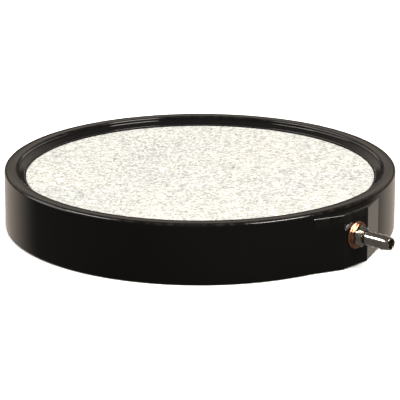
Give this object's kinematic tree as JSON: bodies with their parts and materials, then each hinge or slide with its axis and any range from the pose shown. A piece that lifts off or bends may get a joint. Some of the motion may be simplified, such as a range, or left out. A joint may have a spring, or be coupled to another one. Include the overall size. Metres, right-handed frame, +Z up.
{
  "type": "fine bubble disc diffuser",
  "caption": "Round aeration diffuser: a porous stone disc sealed into a black moulded dish, fed with air through a brass hose barb on the side.",
  "frame": {"origin": "centre of the dish's underside, on the plane it stands on", "axes": "+Z up through the stone, +X out along the hose barb"},
  "size_m": [0.2286, 0.203, 0.0315],
  "materials": {
    "black_plastic": "glossy moulded black",
    "porous_stone": null,
    "black_adhesive": "black potting resin, glossy",
    "plated_brass": "bright nickel plating over brass",
    "copper": null
  },
  "bodies": {
    "root": {"case": "black_plastic", "stone_disc": "porous_stone", "adhesive_ring": "black_adhesive", "sealing_washer": "copper", "hose_barb": "plated_brass"}
  },
  "joints": []
}
